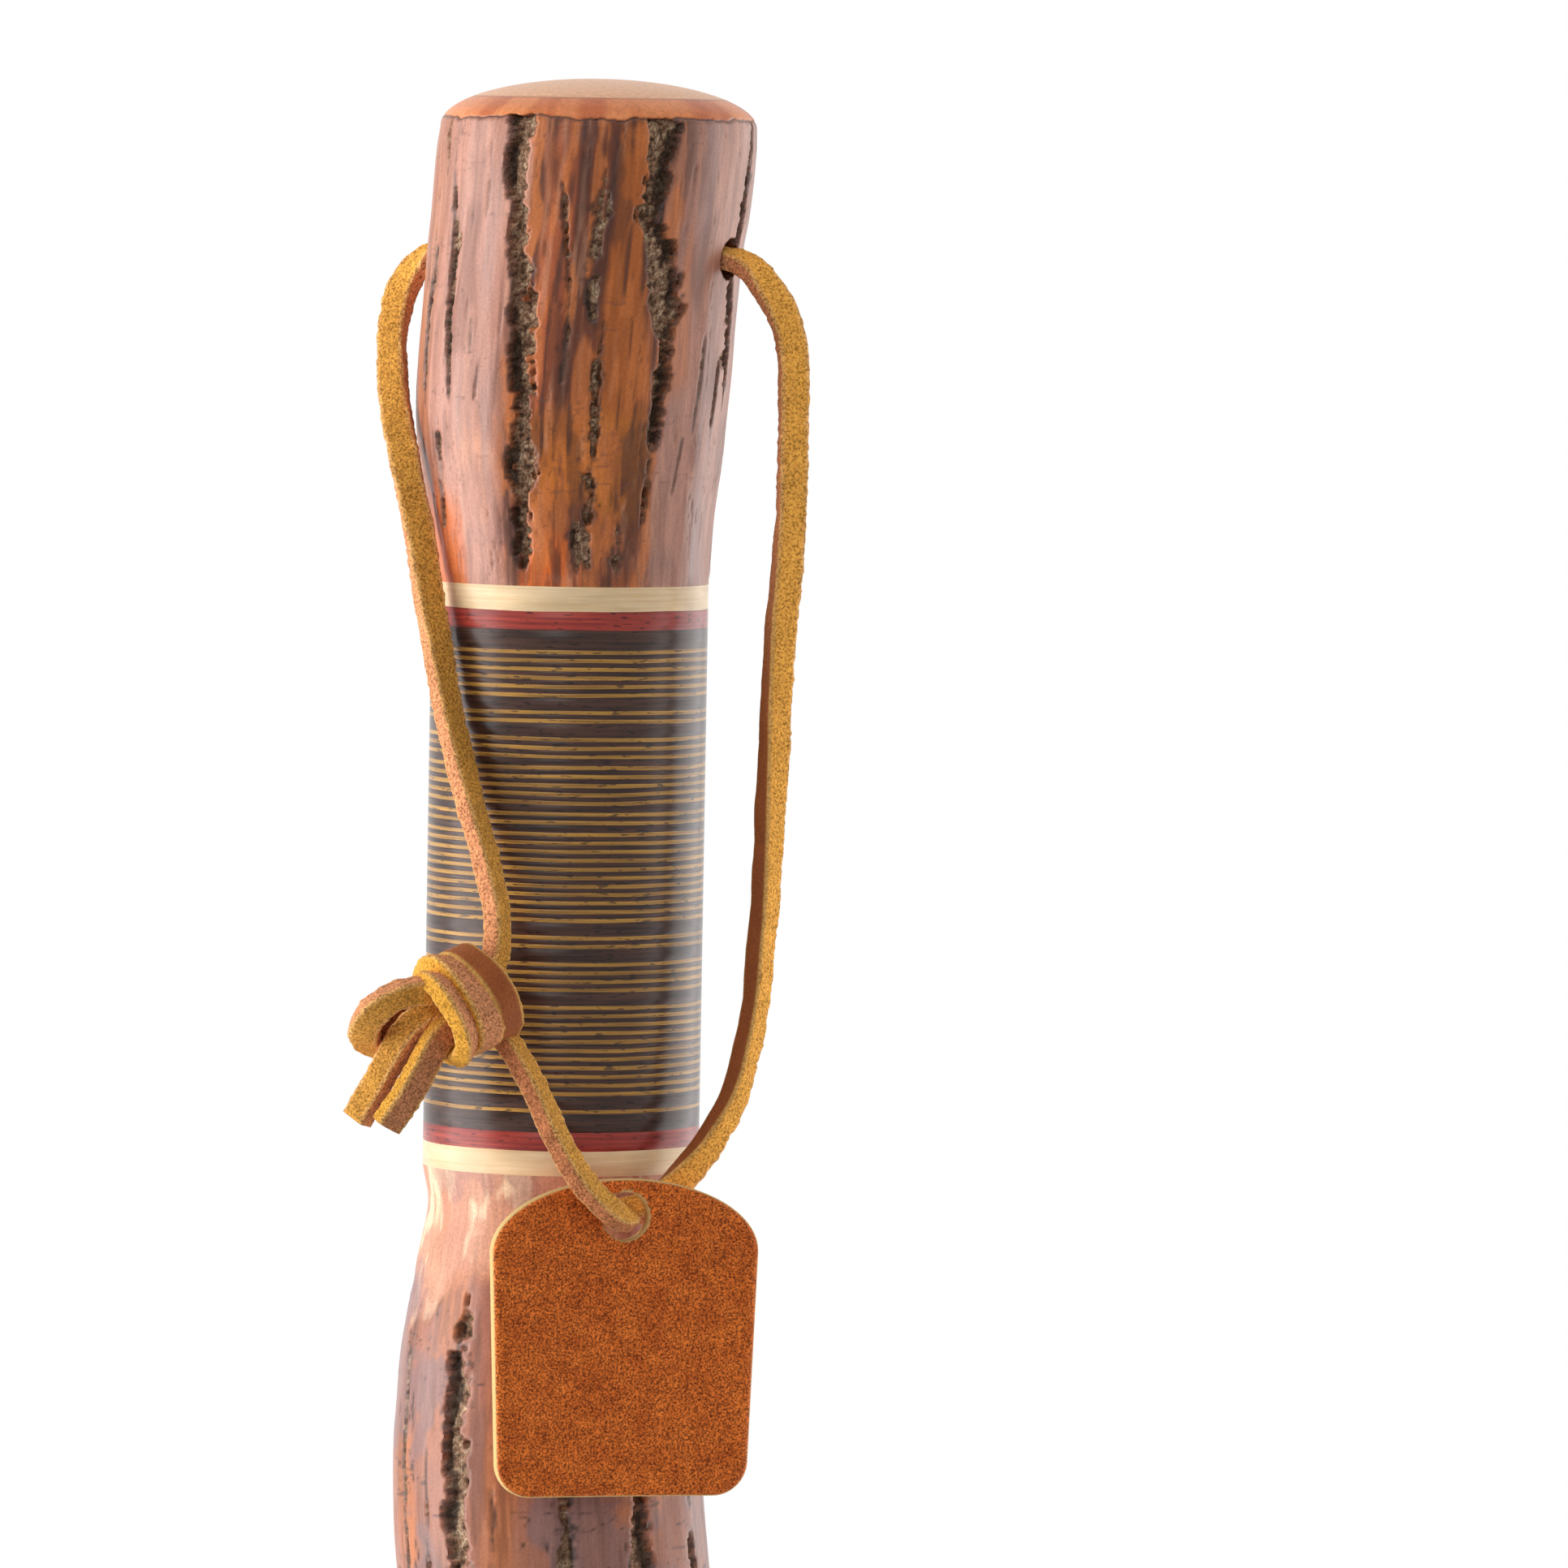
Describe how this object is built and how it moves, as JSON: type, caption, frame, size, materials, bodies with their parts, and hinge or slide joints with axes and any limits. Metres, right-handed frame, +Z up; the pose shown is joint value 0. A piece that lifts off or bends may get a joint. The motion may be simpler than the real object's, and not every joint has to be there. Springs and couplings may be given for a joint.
{
  "type": "hiking staff",
  "caption": "Barked natural-wood hiking staff with a turned laminated inlay grip, a knotted leather wrist lace with a plain tag, and a push-on rubber tip.",
  "frame": {"origin": "middle of the inlay grip, on its axis, where the hand holds the staff", "axes": "+Z up the staff, -Y towards the picture's viewer, +X to the viewer's right"},
  "size_m": [0.0821, 0.0672, 1.0416],
  "materials": {
    "barked_wood": "gloss varnish over bark",
    "pale_wood": "gloss varnish",
    "red_wood": "gloss varnish",
    "dark_wood": "gloss varnish",
    "gold_veneer": "gloss varnish",
    "dowel_wood": "bare",
    "tip_rubber": "matt",
    "washer_steel": "zinc plated",
    "lace_leather": "suede",
    "tag_leather": "waxed grain"
  },
  "bodies": {
    "staff": {"head": "barked_wood", "upper_maple_ring": "pale_wood", "upper_red_ring": "red_wood", "upper_dark_ring": "dark_wood", "gold_veneers": "gold_veneer", "dark_laminations": "dark_wood", "dark_spacers": "dark_wood", "lower_dark_ring": "dark_wood", "lower_red_ring": "red_wood", "lower_maple_ring": "pale_wood", "core_dowel": "dowel_wood", "shaft": "barked_wood"},
    "tip": {"rubber_tip": "tip_rubber", "tip_washer": "washer_steel"},
    "lanyard": {"lanyard_lace": "lace_leather", "lanyard_knot": "lace_leather", "knot_loop": "lace_leather", "lace_tails": "lace_leather"},
    "tag": {"leather_tag": "tag_leather"}
  },
  "joints": [
    {"name": "lanyard_swing", "type": "hinge", "parent": "staff", "child": "lanyard", "pos_m": [0, 0, 0.09719], "axis": [-0.9397, 0.342, 0], "range_deg": [0, 120]},
    {"name": "tag_swing", "type": "hinge", "parent": "lanyard", "child": "tag", "pos_m": [0.0105, -0.0269, -0.05151], "axis": [-0.2588, 0.9659, 0], "range_deg": [-35, 35]},
    {"name": "tip_pull", "type": "slide", "parent": "staff", "child": "tip", "axis": [0, 0, -1], "range_m": [0, 0.028]}
  ]
}
